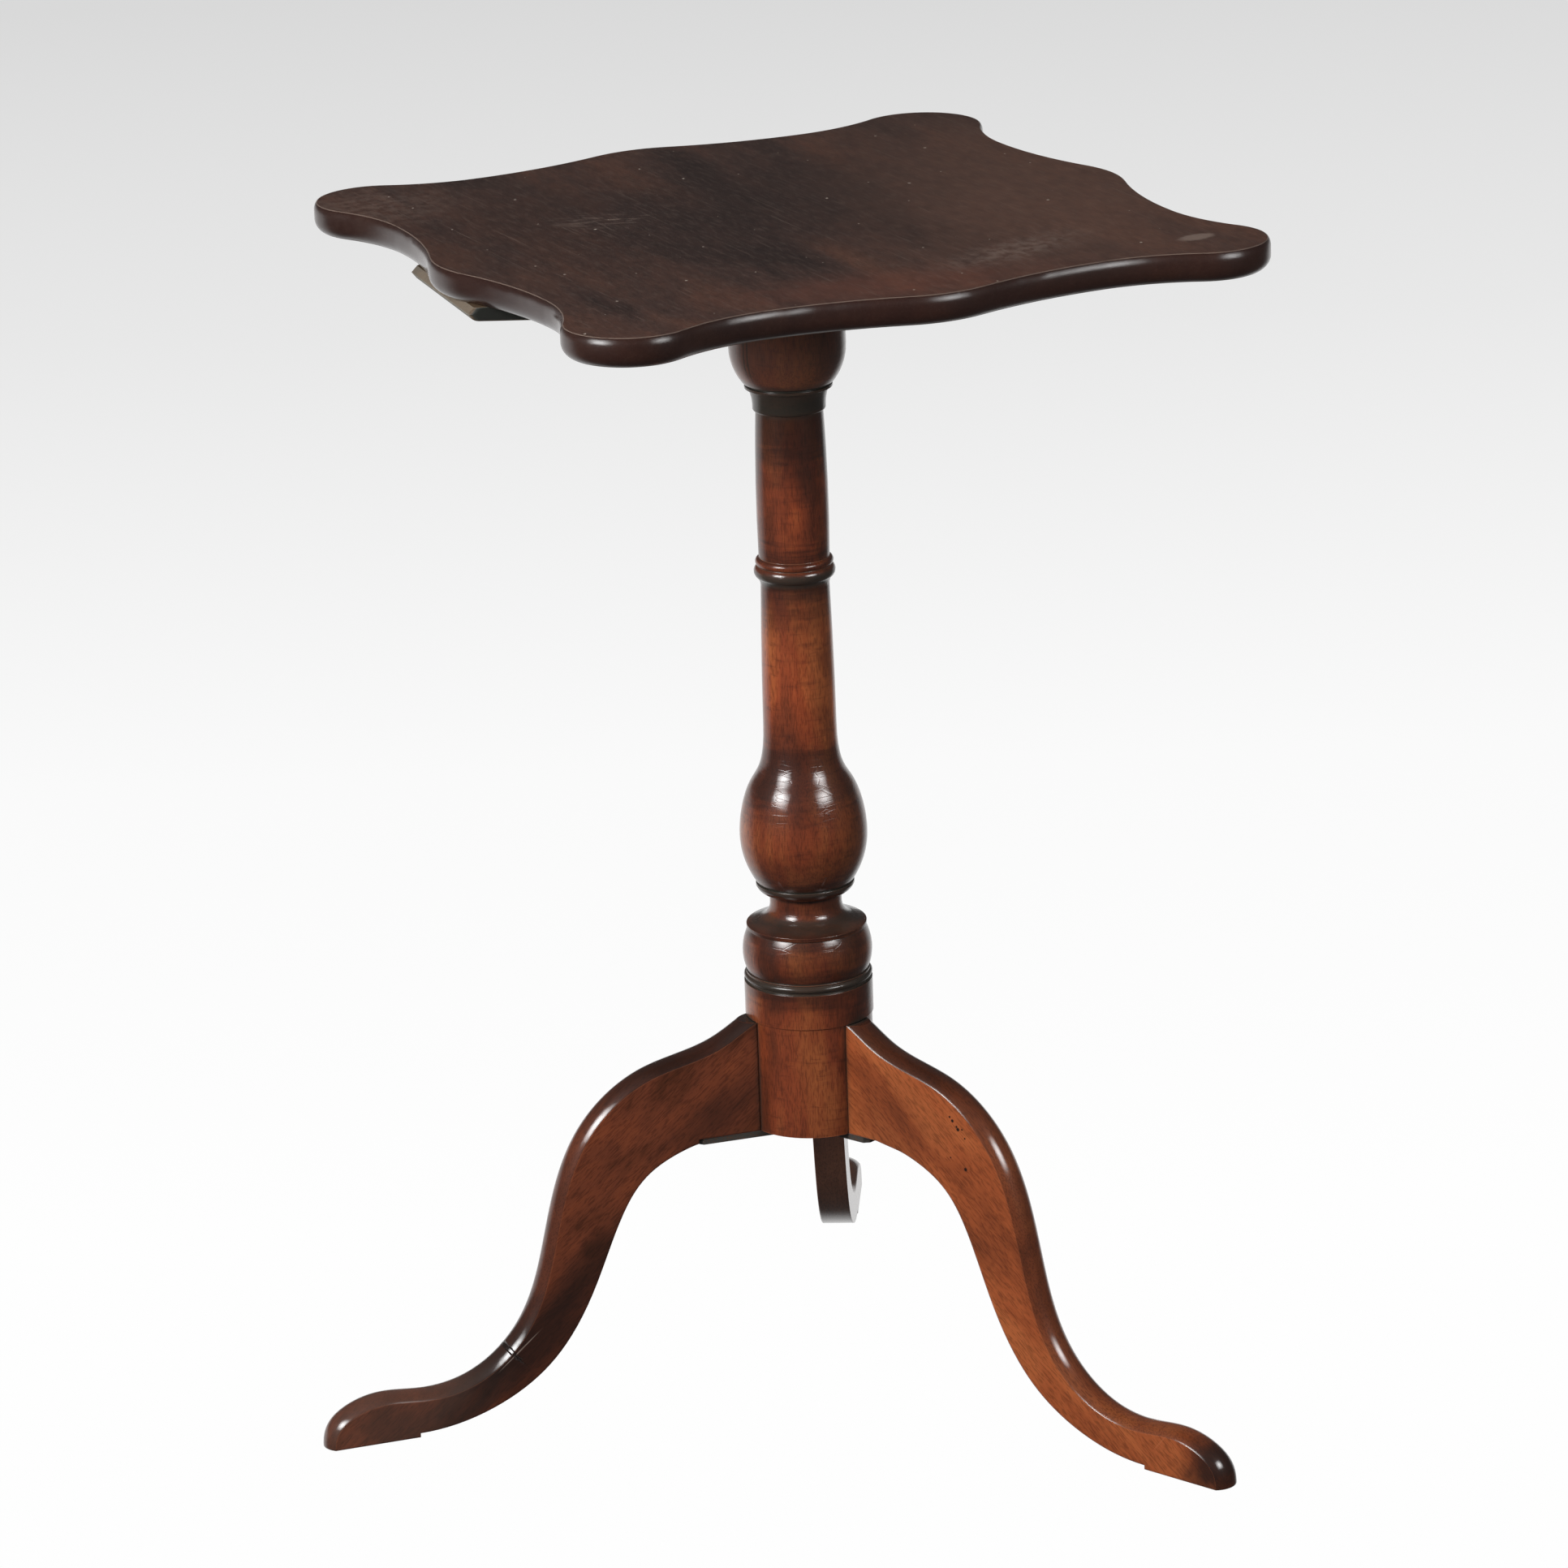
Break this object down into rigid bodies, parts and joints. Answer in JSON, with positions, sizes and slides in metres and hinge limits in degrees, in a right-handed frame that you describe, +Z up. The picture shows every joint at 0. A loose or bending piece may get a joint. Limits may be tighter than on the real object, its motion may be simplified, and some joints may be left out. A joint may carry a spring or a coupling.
{
  "type": "candle stand",
  "caption": "Small tripod stand: a serpentine square top fixed by a cleat to a turned column that stands on cabriole legs with pad feet.",
  "frame": {"origin": "on the floor, on the axis of the turned column", "axes": "+Z up along the column; +X across the top's grain, parallel to two of its sides and pointing away from the left leg; +Y follows by the right-hand rule, along the grain. The cleat and the left leg lie 6.5 degrees clockwise of the X axis, seen from above"},
  "size_m": [0.5182, 0.5535, 0.7],
  "materials": {
    "top_wood": "worn satin varnish, almost black-brown",
    "column_wood": "glossy aged varnish, red-brown, darker in the hollows",
    "leg_wood": "glossy aged varnish, red-brown",
    "cleat_wood": "unvarnished, darkened by age",
    "iron": "forged, blackened",
    "screw_steel": "dull, slightly rusted"
  },
  "bodies": {
    "root": {"top_board": "top_wood", "cleat": "cleat_wood", "cleat_screws": "screw_steel", "cleat_end_screws": "screw_steel", "column": "column_wood", "tenon_wedge": "cleat_wood", "leg_left": "leg_wood", "leg_right": "leg_wood", "leg_rear": "leg_wood", "spider_plate": "iron", "spider_nails": "iron"}
  },
  "joints": []
}
